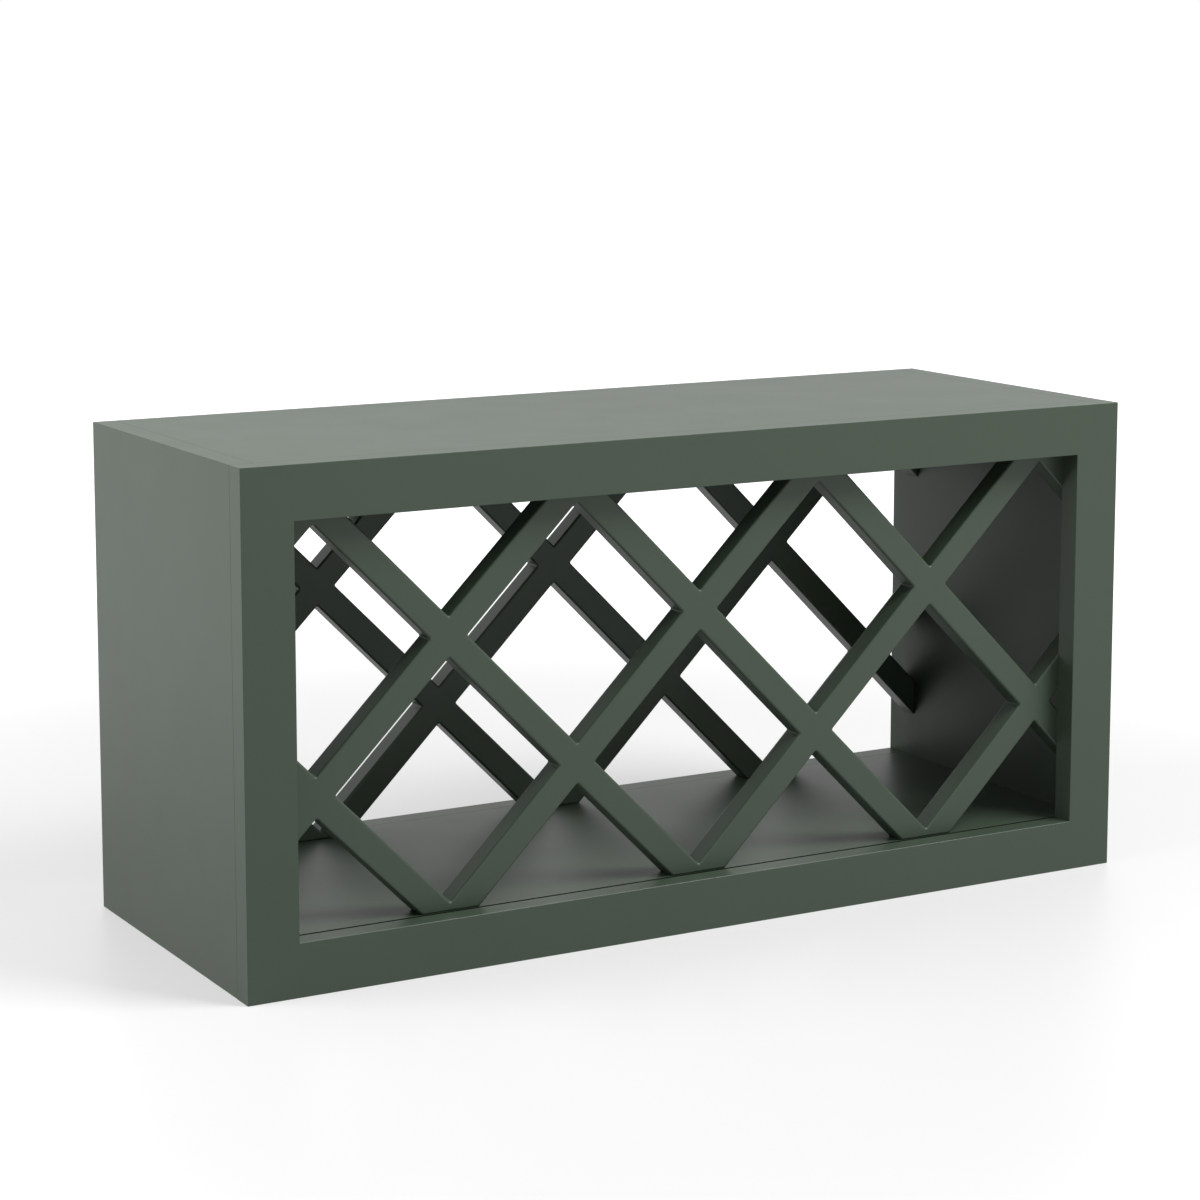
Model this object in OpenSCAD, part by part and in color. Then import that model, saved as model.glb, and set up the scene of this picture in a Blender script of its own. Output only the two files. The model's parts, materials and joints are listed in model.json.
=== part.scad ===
// Wall wine rack: a painted wooden case, open at the front and the back, with a
// face frame and two diagonal lattices that hold bottles lying down.
// X runs to the right, Y from the front to the wall, Z up. The origin is the
// middle of the base. Lengths are in millimetres.

/* [Case] */
// Width over the side panels
case_w = 762; // [640:1:960]
// Depth from the face frame's front to the wall
case_d = 285.75; // [220:0.25:360]
// Height of the side panels
case_h = 381; // [340:1:520]
// Thickness of the side, top and bottom panels
panel_t = 18; // [15:0.5:20]
// Thickness of the two rear rails
rear_rail_t = 18; // [15:0.5:22]
// Height of the hanging rail
hanging_rail_h = 76; // [60:1:100]

/* [Face frame] */
// Width of the two stiles
stile_w = 40; // [32:1:60]
// Width of the top and bottom rails
rail_w = 40; // [38:1:60]
// Thickness of the face frame
frame_t = 19; // [16:0.5:25]
// Size of the small bevel on the frame's edges
edge_bevel = 0.3; // [0.1:0.1:1]
// Width of the groove behind the bottom rail, where the bottom panel starts
floor_groove_w = 2.6; // [0.5:0.1:4]
// Depth of that groove
floor_groove_h = 3; // [1:0.5:4]

/* [Lattice] */
// Clear side of a whole cell
cell_side = 128.5; // [110:0.5:150]
// Width of a slat
slat_w = 21.5; // [18:0.5:28]
// Thickness of a slat
slat_t = 19; // [15:0.5:25]
// Radius of a slat's long edges
slat_edge_r = 2; // [1.75:0.25:4]
// Radius of a slat's edges where it meets the floor, the sides and the top
end_edge_r = 1.5; // [0.5:0.25:1.5]
// Height of the top row of crossings, and of its screws, over the top rail's lower edge
crossing_rise = 8.6; // [6:0.2:10]

/* [Dowels] */
// Diameter of a dowel
dowel_d = 8; // [6:0.5:9]
// Length of a dowel
dowel_l = 30; // [24:1:30]
// How deep a dowel sits in the face of a panel or the back of the frame
dowel_bite = 12; // [8:0.5:12.5]
// Gap round a dowel, on the radius
dowel_fit = 0.1; // [0.05:0.05:0.3]
// Glue gap at each end of a dowel
dowel_end_gap = 1; // [0.5:0.25:1.5]
// Distance of a corner's outer dowel from the frame's outer edge
corner_dowel_inset = 8; // [7:0.5:9]
// Distance between the two dowels of a frame corner
corner_dowel_gap = 13; // [11:0.5:13]

/* [Screws] */
// Diameter of a screw's shank
screw_d = 4; // [3:0.5:5]
// Diameter of a screw's head
screw_head_d = 8; // [6:0.5:9]
// How far a screw goes into the piece that it pulls on
screw_bite = 12; // [8:0.5:13]
// Gap round a screw, on the radius
screw_fit = 0.1; // [0.05:0.05:0.3]

/* [Wall fixing] */
// Distance between the two holes for wall screws
wall_hole_spacing = 406.4; // [300:0.1:500]
// Diameter of a hole for a wall screw
wall_hole_d = 5; // [4:0.5:8]
// Distance of the wall screw holes below the top
wall_hole_drop = 38; // [30:1:45]

/* [Hidden] */
$fn = 64;
over = 1;

inner_w = case_w - 2 * panel_t;
opening_w = case_w - 2 * stile_w;
opening_low = rail_w;
opening_high = case_h - rail_w;
floor_z = rail_w;
ceiling_z = case_h - panel_t;
panel_front_y = frame_t;
panel_back_y = case_d - rear_rail_t;
panel_l = panel_back_y - panel_front_y;

// The lattice is drawn on lines at 45 degrees to the floor. A slat's offset is
// the distance of its middle line from the lattice's centre, square to the line.
// The lattice hangs from its top row of crossings, which the top rail hides.
diagonal = sqrt(2);
pitch = cell_side + slat_w;
half_cell = pitch / diagonal;
top_crossing_z = opening_high + crossing_rise;
rows_over_centre = 3 / 2;
lattice_z = top_crossing_z - rows_over_centre * half_cell;
low_z = floor_z - lattice_z;
high_z = ceiling_z - lattice_z;
// A quarter of a pitch puts a crossing on the middle line of the case.
lattice_shift = 1 / 4;
lattice_reach = 12;
shortest_slat = 2 * slat_w;
function slat_offset(m) = pitch * (m + lattice_shift);
function slat_low(p) = max(p - inner_w / diagonal, low_z * diagonal - p);
function slat_high(p) = min(p + inner_w / diagonal, high_z * diagonal - p);
slat_offsets = [
    for (m = [-lattice_reach:lattice_reach])
        let (p = slat_offset(m))
        if (slat_high(p) - slat_low(p) > shortest_slat) p
];
slat_count = len(slat_offsets);
bar_l = 2 * (case_w + case_h);
front_lattice_y = frame_t;
rear_lattice_y = panel_back_y - slat_t;

// Places of the dowels. Those along the panels' front and back edges stand below
// the middles of the cells, clear of the lattice's feet and of the corner dowels.
least_wall = 1;
dowel_reach = 9;
edge_dowel_limit = opening_w / 2 - dowel_l / 2 - dowel_end_gap - dowel_d / 2
    - dowel_fit - least_wall;
edge_dowel_xs = [
    for (n = [-dowel_reach:2:dowel_reach])
        if (abs(n * half_cell) <= edge_dowel_limit) n * half_cell
];
side_dowel_zs = [for (n = [-1:1]) case_h / 2 + n * case_h / 3];
panel_dowel_ys = [for (n = [-1:1]) panel_front_y + panel_l / 2 + n * panel_l / 3];
corner_dowel_zs = [
    for (drop = [corner_dowel_inset, corner_dowel_inset + corner_dowel_gap])
        each [drop, case_h - drop]
];
top_dowel_z = case_h - panel_t / 2;
bottom_dowel_z = floor_z - panel_t / 2;
rear_rail_y = panel_back_y + rear_rail_t / 2;
rail_dowel_inset = 20;
low_rail_dowel_inset = 10;
hanging_rail_z = case_h - hanging_rail_h;
hanging_dowel_zs = [hanging_rail_z + rail_dowel_inset, case_h - rail_dowel_inset];
rear_bottom_dowel_zs = [low_rail_dowel_inset, rail_w - low_rail_dowel_inset];

// Places of the screws.
head_h = (screw_head_d - screw_d) / 2;
tip_l = 4;
tip_d = 1;
recess_w = 0.9;
recess_h = 1.3;
stile_screw_x = (opening_w + inner_w) / 4;
foot_screw_shift = 4;
lattice_screw_l = slat_t + screw_bite;
rail_screw_l = rear_rail_t + screw_bite;
foot_screw_l = panel_t + screw_bite;
top_screw_xs = [
    for (p = slat_offsets)
        let (x = top_crossing_z - lattice_z - p * diagonal)
        if (abs(x) < inner_w / 2 - slat_w / 2) x
];
// Each entry is an x and a z on the middle line of a rising slat.
stile_screws = [
    for (p = slat_offsets)
        for (side = [-1, 1])
            let (z = lattice_z + p * diagonal + side * stile_screw_x)
            if (z > floor_z + slat_w && z < opening_high - slat_w / 2)
                [side * stile_screw_x, z]
];
foot_screw_xs = [
    for (p = slat_offsets)
        let (x = low_z - p * diagonal + foot_screw_shift)
        if (abs(x) < inner_w / 2 - slat_w) x
];

paint = [0.30, 0.34, 0.29];
beech = [0.80, 0.65, 0.45];
steel = [0.62, 0.63, 0.65];

// Puts the middle of the base at the origin. The shapes themselves are drawn
// with y = 0 on the front of the face frame.
module placed() {
    translate([0, -case_d / 2, 0]) children();
}

module along_x() {
    rotate([0, 90, 0]) children();
}

module along_y() {
    rotate([-90, 0, 0]) children();
}

module both_sides() {
    children();
    mirror([1, 0, 0]) children();
}

// A box from its low corner to its high corner.
module block(low, high) {
    translate(low) cube(high - low);
}

// Dowels. The joint is at z = 0 and the dowel goes down by bite.
module dowel(bite) {
    chamfer = 1;
    translate([0, 0, -bite]) {
        cylinder(h = chamfer, d1 = dowel_d - 2 * chamfer, d2 = dowel_d);
        translate([0, 0, chamfer]) cylinder(h = dowel_l - 2 * chamfer, d = dowel_d);
        translate([0, 0, dowel_l - chamfer])
            cylinder(h = chamfer, d1 = dowel_d, d2 = dowel_d - 2 * chamfer);
    }
}

module dowel_bore(bite) {
    translate([0, 0, -bite - dowel_end_gap])
        cylinder(h = dowel_l + 2 * dowel_end_gap, d = dowel_d + 2 * dowel_fit);
}

module at_frame_corners() {
    both_sides()
        for (z = corner_dowel_zs)
            translate([opening_w / 2, frame_t / 2, z]) along_x() children();
}

// From the back of the frame into the panels: the child's +Z is +Y.
module at_frame_back() {
    both_sides()
        for (z = side_dowel_zs)
            translate([case_w / 2 - panel_t / 2, panel_front_y, z]) along_y() children();
    for (x = edge_dowel_xs)
        for (z = [bottom_dowel_z, top_dowel_z])
            translate([x, panel_front_y, z]) along_y() children();
}

// From the inner faces of the side panels inwards, at one height.
module at_panel_ends(z) {
    both_sides()
        for (y = panel_dowel_ys)
            translate([inner_w / 2, y, z]) rotate([0, -90, 0]) children();
}

module at_rail_ends(zs) {
    both_sides()
        for (z = zs)
            translate([inner_w / 2, rear_rail_y, z]) rotate([0, -90, 0]) children();
}

// From a rear rail forwards into the panel in front of it.
module at_rail_front(z) {
    for (x = edge_dowel_xs)
        translate([x, panel_back_y, z]) rotate([90, 0, 0]) children();
}

module case_dowel_bores() {
    at_frame_back() dowel_bore(dowel_bite);
    for (z = [bottom_dowel_z, top_dowel_z]) {
        at_panel_ends(z) dowel_bore(dowel_bite);
        at_rail_front(z) dowel_bore(dowel_bite);
    }
    at_rail_ends(concat(hanging_dowel_zs, rear_bottom_dowel_zs)) dowel_bore(dowel_bite);
}

// Countersunk screws. The head's top is at z = 0 and the tip points to +Z.
module screw(l) {
    difference() {
        union() {
            cylinder(h = head_h, d1 = screw_head_d, d2 = screw_d);
            translate([0, 0, head_h]) cylinder(h = l - head_h - tip_l, d = screw_d);
            translate([0, 0, l - tip_l]) cylinder(h = tip_l, d1 = screw_d, d2 = tip_d);
        }
        for (turn = [0, 90])
            rotate([0, 0, turn])
                translate([-screw_d / 2, -recess_w / 2, -over])
                    cube([screw_d, recess_w, recess_h + over]);
    }
}

module screw_bore(l) {
    wide = screw_head_d + 2 * screw_fit;
    slim = screw_d + 2 * screw_fit;
    translate([0, 0, -over]) cylinder(h = over, d = wide);
    cylinder(h = head_h, d1 = wide, d2 = slim);
    cylinder(h = l + screw_fit, d = slim);
}

// Through the front lattice into the top rail and the stiles.
module at_front_lattice_screws() {
    back_y = front_lattice_y + slat_t;
    for (x = top_screw_xs)
        translate([x, back_y, top_crossing_z]) rotate([90, 0, 0]) children();
    both_sides()
        for (place = stile_screws)
            translate([place[0], back_y, place[1]]) rotate([90, 0, 0]) children();
}

// Through the hanging rail into the rear lattice.
module at_rear_lattice_screws() {
    for (x = top_screw_xs)
        translate([x, case_d, top_crossing_z]) rotate([90, 0, 0]) children();
}

// Up through the bottom panel into each slat that stands on it.
module at_foot_screws() {
    for (y = [front_lattice_y, rear_lattice_y])
        both_sides()
            for (x = foot_screw_xs)
                translate([x, y + slat_t / 2, floor_z - panel_t]) children();
}

module screw_bores() {
    at_front_lattice_screws() screw_bore(lattice_screw_l);
    at_rear_lattice_screws() screw_bore(rail_screw_l);
    at_foot_screws() screw_bore(foot_screw_l);
}

// A square bar on edge: it cuts a bevel from an edge that runs along its axis.
module bevel_bar(l) {
    rotate([0, 0, 45]) cube([edge_bevel * diagonal, edge_bevel * diagonal, l], center = true);
}

// Bevels round the outside of the frame, front and back.
module outer_bevels() {
    for (y = [0, frame_t]) {
        for (x = [-case_w / 2, case_w / 2])
            translate([x, y, case_h / 2]) bevel_bar(case_h + 2 * over);
        for (z = [0, case_h])
            translate([0, y, z]) along_x() bevel_bar(case_w + 2 * over);
    }
}

// Cross-section of the opening's bevel, which is w wide behind it.
module opening_taper(w) {
    deep = edge_bevel + over;
    wide = w / 2 + deep;
    slim = w / 2 - over;
    polygon([[-wide, -over], [wide, -over], [slim, deep], [-slim, deep]]);
}

// A bevel round the front of the opening, mitred in its corners.
module opening_bevel() {
    intersection() {
        linear_extrude(height = case_h) opening_taper(opening_w);
        translate([0, 0, (opening_low + opening_high) / 2])
            rotate([0, 90, 0])
                linear_extrude(height = case_w, center = true)
                    opening_taper(opening_high - opening_low);
    }
}

module frame_member(low, high) {
    color(paint)
        placed()
            difference() {
                block(low, high);
                outer_bevels();
                opening_bevel();
                at_frame_corners() dowel_bore(dowel_l / 2);
                at_frame_back() dowel_bore(dowel_bite);
                at_front_lattice_screws() screw_bore(lattice_screw_l);
                children();
            }
}

module left_stile() {
    frame_member([-case_w / 2, 0, 0], [-opening_w / 2, frame_t, case_h]);
}

module right_stile() {
    frame_member([opening_w / 2, 0, 0], [case_w / 2, frame_t, case_h]);
}

module top_rail() {
    frame_member([-opening_w / 2, 0, opening_high], [opening_w / 2, frame_t, case_h]);
}

// The rail's upper back edge is cut away to a groove along the bottom panel.
module bottom_rail() {
    frame_member([-opening_w / 2, 0, 0], [opening_w / 2, frame_t, opening_low])
        block(
            [-opening_w / 2 - over, frame_t - floor_groove_w, opening_low - floor_groove_h],
            [opening_w / 2 + over, frame_t + over, opening_low + over]
        );
}

module side_panel() {
    color(paint)
        placed()
            difference() {
                block([inner_w / 2, panel_front_y, 0], [case_w / 2, case_d, case_h]);
                case_dowel_bores();
            }
}

module right_side_panel() {
    side_panel();
}

module left_side_panel() {
    mirror([1, 0, 0]) side_panel();
}

module case_panel(z) {
    color(paint)
        placed()
            difference() {
                block([-inner_w / 2, panel_front_y, z], [inner_w / 2, panel_back_y, z + panel_t]);
                case_dowel_bores();
                at_foot_screws() screw_bore(foot_screw_l);
            }
}

module top_panel() {
    case_panel(case_h - panel_t);
}

module bottom_panel() {
    case_panel(floor_z - panel_t);
}

module rear_rail(z, h) {
    color(paint)
        placed()
            difference() {
                block([-inner_w / 2, panel_back_y, z], [inner_w / 2, case_d, z + h]);
                case_dowel_bores();
                at_rear_lattice_screws() screw_bore(rail_screw_l);
                both_sides()
                    translate([wall_hole_spacing / 2, panel_back_y - over, case_h - wall_hole_drop])
                        along_y() cylinder(h = rear_rail_t + 2 * over, d = wall_hole_d);
            }
}

module hanging_rail() {
    rear_rail(hanging_rail_z, hanging_rail_h);
}

module rear_bottom_rail() {
    rear_rail(0, rail_w);
}

// Cross-section of a slat: x is its thickness, y its width, centred.
module slat_profile() {
    r = slat_edge_r;
    translate([0, r - slat_w / 2]) square([slat_t, slat_w - 2 * r]);
    translate([r, -slat_w / 2]) square([slat_t - 2 * r, slat_w]);
    for (x = [r, slat_t - r])
        for (y = [r - slat_w / 2, slat_w / 2 - r])
            translate([x, y]) circle(r = r);
}

// A bar that rises to the right, or to the left when falling, at an offset.
module slat_bar(p, falling) {
    mirror([falling ? 1 : 0, 0, 0])
        rotate([0, -45, 0])
            translate([0, 0, p])
                rotate([90, 0, 90])
                    linear_extrude(height = bar_l, center = true) slat_profile();
}

// The square where a slat at offset p crosses one at offset q, over part of the
// thickness. Reach lets it run past the slat's sides, or past its crossing's.
module crossing(p, q, falling, low_y, high_y, reach_along, reach_across) {
    along = slat_w + 2 * reach_along;
    across = slat_w + 2 * reach_across;
    mirror([falling ? 1 : 0, 0, 0])
        rotate([0, -45, 0])
            translate([q - along / 2, low_y, p - across / 2])
                cube([along, high_y - low_y, across]);
}

module blank_profile(low, high) {
    r = end_edge_r;
    translate([0, low + r]) square([slat_t, high - low - 2 * r]);
    translate([r, low]) square([slat_t - 2 * r, high - low]);
    for (x = [r, slat_t - r])
        for (y = [low + r, high - r])
            translate([x, y]) circle(r = r);
}

// What both lattices are cut to: the inside of the case, with round edges.
module lattice_blank() {
    intersection() {
        rotate([90, 0, 90])
            linear_extrude(height = inner_w, center = true)
                blank_profile(low_z, high_z);
        rotate([0, 0, 90])
            translate([0, 0, low_z])
                linear_extrude(height = high_z - low_z)
                    blank_profile(-inner_w / 2, inner_w / 2);
    }
}

// Slats are halved into each other: a rising slat keeps its front half at a
// crossing and a falling slat its rear half, and the crossing ends up flush.
module slat(i, falling) {
    p = slat_offsets[i - 1];
    kept_y = falling ? slat_t / 2 : -over;
    cut_y = falling ? -over : slat_t / 2;
    half = slat_t / 2 + over;
    intersection() {
        lattice_blank();
        union() {
            difference() {
                slat_bar(p, falling);
                for (q = slat_offsets)
                    crossing(p, q, falling, cut_y, cut_y + half, 0, over);
            }
            for (q = slat_offsets)
                intersection() {
                    slat_bar(q, !falling);
                    crossing(p, q, falling, kept_y, kept_y + half, over, 0);
                }
        }
    }
}

module lattice_slat(i, falling, y) {
    color(paint)
        placed()
            difference() {
                translate([0, y, lattice_z]) slat(i, falling);
                screw_bores();
            }
}

module front_rising_slat(i) {
    lattice_slat(i, false, front_lattice_y);
}

module front_falling_slat(i) {
    lattice_slat(i, true, front_lattice_y);
}

module rear_rising_slat(i) {
    lattice_slat(i, false, rear_lattice_y);
}

module rear_falling_slat(i) {
    lattice_slat(i, true, rear_lattice_y);
}

module frame_corner_dowels() {
    color(beech) placed() at_frame_corners() dowel(dowel_l / 2);
}

module frame_to_case_dowels() {
    color(beech) placed() at_frame_back() dowel(dowel_bite);
}

module top_panel_dowels() {
    color(beech) placed() at_panel_ends(top_dowel_z) dowel(dowel_bite);
}

module bottom_panel_dowels() {
    color(beech) placed() at_panel_ends(bottom_dowel_z) dowel(dowel_bite);
}

module hanging_rail_dowels() {
    color(beech)
        placed() {
            at_rail_ends(hanging_dowel_zs) dowel(dowel_bite);
            at_rail_front(top_dowel_z) dowel(dowel_bite);
        }
}

module rear_bottom_rail_dowels() {
    color(beech)
        placed() {
            at_rail_ends(rear_bottom_dowel_zs) dowel(dowel_bite);
            at_rail_front(bottom_dowel_z) dowel(dowel_bite);
        }
}

module front_lattice_screws() {
    color(steel) placed() at_front_lattice_screws() screw(lattice_screw_l);
}

module rear_lattice_screws() {
    color(steel) placed() at_rear_lattice_screws() screw(rail_screw_l);
}

module lattice_foot_screws() {
    color(steel) placed() at_foot_screws() screw(foot_screw_l);
}

left_stile();
right_stile();
top_rail();
bottom_rail();
left_side_panel();
right_side_panel();
top_panel();
bottom_panel();
hanging_rail();
rear_bottom_rail();
frame_corner_dowels();
frame_to_case_dowels();
top_panel_dowels();
bottom_panel_dowels();
hanging_rail_dowels();
rear_bottom_rail_dowels();
front_lattice_screws();
rear_lattice_screws();
lattice_foot_screws();
for (i = [1:slat_count]) {
    front_rising_slat(i);
    front_falling_slat(i);
    rear_rising_slat(i);
    rear_falling_slat(i);
}
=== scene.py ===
import json
import math

import bmesh
import bpy
from mathutils import Euler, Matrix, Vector

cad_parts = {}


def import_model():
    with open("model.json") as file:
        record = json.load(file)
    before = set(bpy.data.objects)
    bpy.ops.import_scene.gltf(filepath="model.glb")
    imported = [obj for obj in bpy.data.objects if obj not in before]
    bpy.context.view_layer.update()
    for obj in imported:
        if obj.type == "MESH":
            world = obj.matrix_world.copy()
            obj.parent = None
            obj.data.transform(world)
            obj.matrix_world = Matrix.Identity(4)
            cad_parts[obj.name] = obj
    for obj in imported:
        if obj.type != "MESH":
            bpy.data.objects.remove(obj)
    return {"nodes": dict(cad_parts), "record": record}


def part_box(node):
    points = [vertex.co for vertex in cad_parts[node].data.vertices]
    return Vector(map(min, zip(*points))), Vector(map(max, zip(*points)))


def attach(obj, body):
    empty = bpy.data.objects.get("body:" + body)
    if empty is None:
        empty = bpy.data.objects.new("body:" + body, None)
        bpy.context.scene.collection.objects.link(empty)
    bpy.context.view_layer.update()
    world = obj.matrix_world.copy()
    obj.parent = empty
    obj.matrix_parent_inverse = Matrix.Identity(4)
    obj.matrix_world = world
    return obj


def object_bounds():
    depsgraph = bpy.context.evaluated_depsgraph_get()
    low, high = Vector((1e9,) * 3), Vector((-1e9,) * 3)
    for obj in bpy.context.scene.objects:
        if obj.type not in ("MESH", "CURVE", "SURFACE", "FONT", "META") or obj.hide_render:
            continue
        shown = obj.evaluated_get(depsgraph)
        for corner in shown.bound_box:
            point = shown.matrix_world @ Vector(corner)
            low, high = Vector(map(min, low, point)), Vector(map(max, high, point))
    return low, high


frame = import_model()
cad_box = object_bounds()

# Lengths are in metres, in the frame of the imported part: X to the right, Y to the
# wall, Z up, with the origin in the middle of the base.
MM = 0.001

# Camera
CAMERA_AT = (-1.1940, -2.0776, 0.6808)
CAMERA_YAW = math.radians(29.663)
CAMERA_PITCH = math.radians(7.952)
CAMERA_ROLL = math.radians(0.052)
CAMERA_LENS = 92.43
CAMERA_SHIFT = (-0.0059, -0.12)

# Lattices, with the slats as the CAD has them
SLAT_W = 21.5 * MM
SLAT_EDGE_R = 2 * MM
CELL_SIDE = 128.5 * MM
CROSSING_RISE = 8.6 * MM
CROSSING_ROWS = 4

# Fillets in the corners of the lattices' cells
FILLET_R = 1.4 * MM
FILLET_SINK = 0.3 * MM
FILLET_SHARP = math.radians(35)
ARC_STEPS = 8
ROUND_STEPS = 5

# Eased edges of the case's boards. The front frame has its own in the CAD.
CASE_BOARDS = (
    "left_side_panel", "right_side_panel", "top_panel", "bottom_panel",
    "hanging_rail", "rear_bottom_rail",
)
EASED_EDGE = 0.35 * MM
EASED_STEPS = 2

# How near two points lie that count as one, on a board and in a fillet, and how near
# to its box's side an edge of a board lies
BOARD_WELD = 0.001 * MM
FILLET_WELD = 0.0001 * MM
SIDE_REACH = 0.01 * MM

# Groove between the bottom rail and the bottom panel, as the CAD has it, and how far below
# its top edge the painted shade in it starts
GROOVE_W = 2.6 * MM
GROOVE_H = 3 * MM
GROOVE_SHADE_INSET = 0.05 * MM

# Paint: two greens that cloud into each other, patches of gloss, and a fine peel.
# Clouds, patches and peel are counted per metre.
PAINT_LIGHT = (0.0432, 0.0632, 0.0424)
PAINT_DARK = (0.0412, 0.0606, 0.0404)
PAINT_ROUGHNESS = (0.41, 0.43)
PAINT_IOR = 1.4
PAINT_CLOUDS = 7
PAINT_PATCHES = 22
PAINT_PEEL = 420
PEEL_DEPTH = 0.02 * MM
# Near-black colour for the groove behind the bottom rail: painted shade standing in for
# the shade in that narrow gap
GROOVE_SHADE_COLOUR = (0.006, 0.007, 0.006)

# Bare beech, and zinc: colours, roughness, flecks or spangles per metre and their depth
BEECH_DARK = (0.36, 0.21, 0.10)
BEECH_LIGHT = (0.54, 0.36, 0.19)
BEECH_ROUGHNESS = (0.55, 0.7)
BEECH_FLECKS = 900
BEECH_STRETCH = (0.15, 0.15, 1)
FLECK_DEPTH = 0.1 * MM
ZINC_DARK = (0.42, 0.43, 0.45)
ZINC_LIGHT = (0.62, 0.63, 0.66)
ZINC_ROUGHNESS = (0.28, 0.45)
ZINC_SPANGLES = 700
SPANGLE_DEPTH = 0.03 * MM

# Light. A lamp's level is what it adds to a white surface that faces it, at the
# object's middle. The world's level is what it adds to one that sees nothing else.
WORLD_LEVEL = 0.24
LAMPS = {
    # name: azimuth, elevation, distance, side, level, and whether gloss shows the lamp
    "key_lamp": (44, 47, 3.2, 1.6, 1.15, True),
    "left_lamp": (270, 35, 1.4, 0.9, 0.71, False),
}
FLOOR_SIDE = 60
FLOOR_WHITE = 0.42
FLOOR_ROUGHNESS = 0.45
# The floor's lift round the object, and far from it, and where it starts and ends to grow.
# The smaller lift round the object is painted shade on the floor there.
FLOOR_LIFT = (0.385, 0.92)
FLOOR_FADE = (0.6, 1.6)


class Shader:
    """A material's node tree, filled by short calls."""

    def __init__(self, name):
        self.material = bpy.data.materials.new(name)
        self.material.use_nodes = True
        self.tree = self.material.node_tree
        self.surface = self.tree.nodes["Principled BSDF"]

    def add(self, kind, **settings):
        node = self.tree.nodes.new("ShaderNode" + kind)
        for key, value in settings.items():
            setattr(node, key, value)
        return node

    def put(self, socket, value):
        """Sets a socket to a number or colour, or links it to another socket."""
        if isinstance(value, bpy.types.NodeSocket):
            self.tree.links.new(value, socket)
        else:
            socket.default_value = value

    def place(self, stretch=(1, 1, 1)):
        """Object coordinates, in metres, stretched along the axes."""
        coordinates = self.add("TexCoord")
        mapping = self.add("Mapping")
        self.put(mapping.inputs["Vector"], coordinates.outputs["Object"])
        self.put(mapping.inputs["Scale"], stretch)
        return mapping.outputs["Vector"]

    def noise(self, per_metre, detail=2.0, stretch=(1, 1, 1)):
        texture = self.add("TexNoise")
        self.put(texture.inputs["Vector"], self.place(stretch))
        self.put(texture.inputs["Scale"], per_metre)
        self.put(texture.inputs["Detail"], detail)
        return texture.outputs["Fac"]

    def span(self, value, low, high, start=0.3, end=0.7):
        """Maps a value from start..end onto low..high."""
        node = self.add("MapRange")
        self.put(node.inputs["Value"], value)
        self.put(node.inputs["From Min"], start)
        self.put(node.inputs["From Max"], end)
        self.put(node.inputs["To Min"], low)
        self.put(node.inputs["To Max"], high)
        return node.outputs["Result"]

    def blend(self, share, first, second):
        node = self.add("Mix", data_type="RGBA")
        self.put(node.inputs["Factor"], share)
        self.put(node.inputs["A"], first)
        self.put(node.inputs["B"], second)
        return node.outputs["Result"]

    def bump(self, height, depth):
        node = self.add("Bump")
        self.put(node.inputs["Height"], height)
        self.put(node.inputs["Distance"], depth)
        self.put(node.inputs["Strength"], 1.0)
        return node.outputs["Normal"]


def rgba(red, green, blue):
    return (red, green, blue, 1.0)


def groove_shade_mask(shader):
    """1 in the groove behind the bottom rail, where shade is painted, and elsewhere 0."""
    low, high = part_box("bottom_rail")
    middle = (0, high.y - GROOVE_W / 2, high.z - GROOVE_SHADE_INSET - GROOVE_H / 2)
    reach = (high.x - GROOVE_SHADE_INSET, GROOVE_W / 2 + GROOVE_SHADE_INSET, GROOVE_H / 2)
    axes = shader.add("SeparateXYZ")
    shader.put(axes.inputs[0], shader.place())
    share = 1.0
    for axis in range(3):
        near = shader.add("Math", operation="COMPARE")
        both = shader.add("Math", operation="MULTIPLY")
        shader.put(near.inputs[0], axes.outputs[axis])
        shader.put(near.inputs[1], middle[axis])
        shader.put(near.inputs[2], reach[axis])
        shader.put(both.inputs[0], near.outputs[0])
        shader.put(both.inputs[1], share)
        share = both.outputs[0]
    return share


def painted_wood():
    """Satin sage green lacquer, sprayed on sanded wood, with painted shade in the groove
    behind the bottom rail.
    """
    shader = Shader("sage_paint")
    cloud = shader.span(shader.noise(PAINT_CLOUDS, detail=3), 0, 1)
    paint = shader.blend(cloud, rgba(*PAINT_DARK), rgba(*PAINT_LIGHT))
    # The groove behind the bottom rail is coloured near black: painted shade
    colour = shader.blend(groove_shade_mask(shader), paint, rgba(*GROOVE_SHADE_COLOUR))
    shader.put(shader.surface.inputs["Base Color"], colour)
    patch = shader.noise(PAINT_PATCHES, detail=4)
    shader.put(shader.surface.inputs["Roughness"], shader.span(patch, *PAINT_ROUGHNESS))
    shader.surface.inputs["IOR"].default_value = PAINT_IOR
    peel = shader.bump(shader.noise(PAINT_PEEL, detail=1), PEEL_DEPTH)
    shader.put(shader.surface.inputs["Normal"], peel)
    return shader.material


def bare_beech():
    """Turned beech, with short flecks along the dowel."""
    shader = Shader("beech")
    flecks = shader.noise(BEECH_FLECKS, detail=3, stretch=BEECH_STRETCH)
    share = shader.span(flecks, 0, 1, 0.35, 0.65)
    colour = shader.blend(share, rgba(*BEECH_DARK), rgba(*BEECH_LIGHT))
    shader.put(shader.surface.inputs["Base Color"], colour)
    shader.put(shader.surface.inputs["Roughness"], shader.span(flecks, *BEECH_ROUGHNESS))
    shader.put(shader.surface.inputs["Normal"], shader.bump(flecks, FLECK_DEPTH))
    return shader.material


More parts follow.
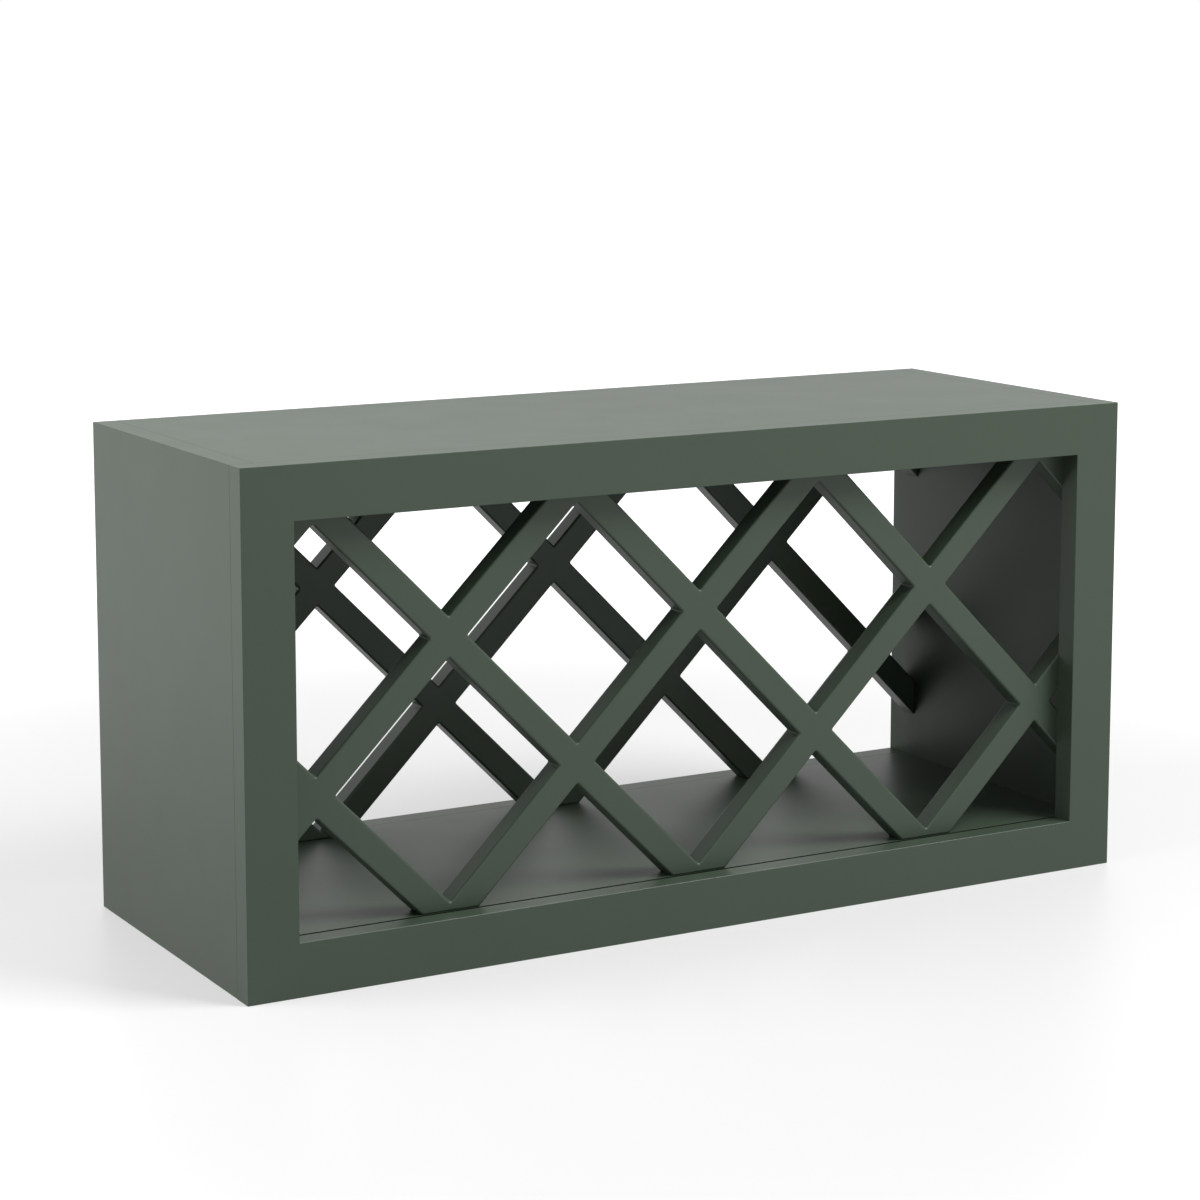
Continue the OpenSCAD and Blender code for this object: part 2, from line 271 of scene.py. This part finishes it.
def zinc_steel():
    """Zinc plated screws, faintly mottled."""
    shader = Shader("zinc")
    spangle = shader.noise(ZINC_SPANGLES, detail=2)
    colour = shader.blend(spangle, rgba(*ZINC_DARK), rgba(*ZINC_LIGHT))
    shader.put(shader.surface.inputs["Base Color"], colour)
    shader.put(shader.surface.inputs["Roughness"], shader.span(spangle, *ZINC_ROUGHNESS))
    shader.put(shader.surface.inputs["Normal"], shader.bump(spangle, SPANGLE_DEPTH))
    shader.surface.inputs["Metallic"].default_value = 1.0
    return shader.material


def dress_nodes():
    """Gives each CAD node the material of its slot in the record."""
    made = {
        "painted_wood": painted_wood(),
        "dowel_wood": bare_beech(),
        "screw_steel": zinc_steel(),
    }
    for part in frame["record"]["subparts"]:
        piece = frame["nodes"][part["node"]]
        piece.data.materials.clear()
        piece.data.materials.append(made[part["material_slot"]])


def outer_edge(ends, low, high):
    """Whether an edge of a board lies on an edge of the board's box, and is eased.

    On the board's front face only the edges at the case's top are."""
    sides = [
        (axis, limit is high) for axis in range(3) for limit in (low, high)
        if all(abs(end[axis] - limit[axis]) < SIDE_REACH for end in ends)
    ]
    at_front = (1, False) in sides
    at_top = min(end.z for end in ends) > cad_box[1].z - SIDE_REACH
    return len(sides) == 2 and (at_top or not at_front)


def round_edges():
    """Rounds the edges of the case's boards, whose joints show as thin seams."""
    for name in CASE_BOARDS:
        piece = frame["nodes"][name]
        low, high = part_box(name)
        places = [piece.matrix_world @ vertex.co for vertex in piece.data.vertices]
        weights = piece.data.attributes.new("bevel_weight_edge", "FLOAT", "EDGE")
        for edge, weight in zip(piece.data.edges, weights.data):
            weight.value = outer_edge([places[k] for k in edge.vertices], low, high)
        weld = piece.modifiers.new("weld", "WELD")
        weld.merge_threshold = BOARD_WELD
        bevel = piece.modifiers.new("bevel", "BEVEL")
        bevel.width = EASED_EDGE
        bevel.segments = EASED_STEPS
        bevel.limit_method = "WEIGHT"
        bevel.use_clamp_overlap = False
        bevel.harden_normals = True


def fillet_corners():
    """Each corner between two crossing slats: its x and z, and its way into the cell."""
    left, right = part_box("left_side_panel")[1].x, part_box("right_side_panel")[0].x
    low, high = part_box("bottom_panel")[1].z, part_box("top_panel")[0].z
    step = (CELL_SIDE + SLAT_W) / math.sqrt(2)
    reach = SLAT_W / math.sqrt(2)
    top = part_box("top_rail")[0].z + CROSSING_RISE
    for row in range(CROSSING_ROWS):
        for column in range(-CROSSING_ROWS, CROSSING_ROWS + 1):
            if (row + column) % 2 == 0:
                continue
            for way in ((1, 0), (-1, 0), (0, 1), (0, -1)):
                x = column * step + reach * way[0]
                z = top - row * step + reach * way[1]
                if left < x - FILLET_R and x + FILLET_R < right and low < z < high:
                    yield x, z, way


def fillet_rings(thickness):
    """Depth, inset and sink of a fillet's rings, from the slats' one face to the other.

    The inset follows the slats' round long edges, and the sink takes the fillet's hidden
    sides into the slats, apart from its two flat ends, which are flush with them."""
    rings = [(0, SLAT_EDGE_R, 0)]
    for k in range(1, ROUND_STEPS + 1):
        turn = math.pi / 2 * k / ROUND_STEPS
        depth = SLAT_EDGE_R * (1 - math.cos(turn))
        rings.append((depth, SLAT_EDGE_R * (1 - math.sin(turn)), FILLET_SINK))
    return rings + [(thickness - depth, inset, sink) for depth, inset, sink in rings[::-1]]


def fillet_outline(inset, sink):
    """A ring's points on the lines along the corner's two walls, the arc first."""
    points = []
    for k in range(ARC_STEPS + 1):
        turn = math.pi / 2 * k / ARC_STEPS
        points.append((
            FILLET_R - (FILLET_R + inset) * math.sin(turn),
            FILLET_R - (FILLET_R + inset) * math.cos(turn),
        ))
    deep = -inset - sink
    points.append((deep, FILLET_R))
    points.append((deep, deep))
    points.append((FILLET_R, deep))
    return points


def corner_fillets(name, like):
    """The fillets in all the corners of one lattice, as one piece."""
    front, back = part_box(like)[0].y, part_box(like)[1].y
    mesh = bmesh.new()
    for x, z, (over, up) in fillet_corners():
        along = Vector((over - up, 0, up + over)) / math.sqrt(2)
        across = Vector((over + up, 0, up - over)) / math.sqrt(2)
        rings = []
        for depth, inset, sink in fillet_rings(back - front):
            middle = Vector((x, front + depth, z))
            rings.append([
                mesh.verts.new(middle + a * along + b * across)
                for a, b in fillet_outline(inset, sink)
            ])
        for near, far in zip(rings, rings[1:]):
            for k in range(len(near)):
                mesh.faces.new((near[k - 1], near[k], far[k], far[k - 1]))
        mesh.faces.new(rings[0])
        mesh.faces.new(rings[-1])
    bmesh.ops.remove_doubles(mesh, verts=mesh.verts, dist=FILLET_WELD)
    bmesh.ops.recalc_face_normals(mesh, faces=mesh.faces)
    for face in mesh.faces:
        face.smooth = True
    data = bpy.data.meshes.new(name)
    mesh.to_mesh(data)
    mesh.free()
    data.set_sharp_from_angle(angle=FILLET_SHARP)
    piece = bpy.data.objects.new(name, data)
    bpy.context.scene.collection.objects.link(piece)
    data.materials.append(frame["nodes"][like].data.materials[0])
    normals = piece.modifiers.new("normals", "WEIGHTED_NORMAL")
    normals.keep_sharp = True
    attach(piece, "root")


def seen_share(tree):
    """1 on rays from the camera, from a mirror image or through glass, and otherwise 0."""
    rays = tree.nodes.new("ShaderNodeLightPath")
    share = rays.outputs["Is Camera Ray"]
    for other in ("Is Glossy Ray", "Is Transmission Ray"):
        either = tree.nodes.new("ShaderNodeMath")
        either.operation = "MAXIMUM"
        tree.links.new(share, either.inputs[0])
        tree.links.new(rays.outputs[other], either.inputs[1])
        share = either.outputs[0]
    return share


def floor():
    """A white floor. Its lift is white that lights nothing and leaves the shadow, and it
    grows away from the object, where the floor turns into the white background. The
    smaller lift near the object is painted shade on the floor round it, which gloss on the
    object also mirrors."""
    bpy.ops.mesh.primitive_plane_add(size=FLOOR_SIDE, location=(0, 0, 0))
    plane = bpy.context.object
    plane.name = "floor"
    shader = Shader("floor_white")
    away = shader.add("VectorMath", operation="LENGTH")
    shader.put(away.inputs[0], shader.place())
    # Lift smaller near the object than far from it: painted shade on the floor round the
    # object
    lift = shader.span(away.outputs["Value"], *FLOOR_LIFT, *FLOOR_FADE)
    lift.node.interpolation_type = "SMOOTHSTEP"
    strength = shader.add("Math", operation="MULTIPLY")
    shader.put(strength.inputs[0], lift)
    shader.put(strength.inputs[1], seen_share(shader.tree))
    shader.surface.inputs["Base Color"].default_value = rgba(*[FLOOR_WHITE] * 3)
    shader.surface.inputs["Roughness"].default_value = FLOOR_ROUGHNESS
    shader.surface.inputs["Emission Color"].default_value = rgba(1, 1, 1)
    shader.put(shader.surface.inputs["Emission Strength"], strength.outputs[0])
    plane.data.materials.append(shader.material)


def world():
    sky = bpy.data.worlds.new("studio")
    bpy.context.scene.world = sky
    sky.use_nodes = True
    tree = sky.node_tree
    light = tree.nodes["Background"]
    seen = tree.nodes.new("ShaderNodeBackground")
    mix = tree.nodes.new("ShaderNodeMixShader")
    for background, level in ((light, WORLD_LEVEL), (seen, 1.0)):
        background.inputs["Color"].default_value = rgba(1, 1, 1)
        background.inputs["Strength"].default_value = level
    tree.links.new(seen_share(tree), mix.inputs["Fac"])
    tree.links.new(light.outputs[0], mix.inputs[1])
    tree.links.new(seen.outputs[0], mix.inputs[2])
    tree.links.new(mix.outputs[0], tree.nodes["World Output"].inputs["Surface"])


def lamps():
    """Square soft lamps, each turned to the middle of the object."""
    low, high = cad_box
    middle = (low + high) / 2
    for name, (azimuth, elevation, distance, side, level, in_gloss) in LAMPS.items():
        around, up = math.radians(azimuth), math.radians(elevation)
        away = Vector((
            math.sin(around) * math.cos(up), -math.cos(around) * math.cos(up), math.sin(up)
        ))
        data = bpy.data.lights.new(name, "AREA")
        data.size = side
        data.energy = level * (math.pi * distance) ** 2
        lamp = bpy.data.objects.new(name, data)
        bpy.context.scene.collection.objects.link(lamp)
        lamp.visible_camera = False
        lamp.visible_glossy = in_gloss
        lamp.location = middle + distance * away
        lamp.rotation_euler = away.to_track_quat("Z", "Y").to_euler()


def camera():
    data = bpy.data.cameras.new("camera")
    data.lens = CAMERA_LENS
    data.shift_x, data.shift_y = CAMERA_SHIFT
    eye = bpy.data.objects.new("camera", data)
    bpy.context.scene.collection.objects.link(eye)
    eye.location = CAMERA_AT
    level = Euler((math.pi / 2 - CAMERA_PITCH, 0, -CAMERA_YAW), "XYZ").to_matrix()
    eye.rotation_euler = (level @ Euler((0, 0, CAMERA_ROLL)).to_matrix()).to_euler()
    bpy.context.scene.camera = eye


bpy.context.scene.view_settings.view_transform = "Standard"
camera()
dress_nodes()
round_edges()
corner_fillets("front_lattice_fillets", "front_rising_slat_3")
corner_fillets("rear_lattice_fillets", "rear_rising_slat_3")
floor()
world()
lamps()
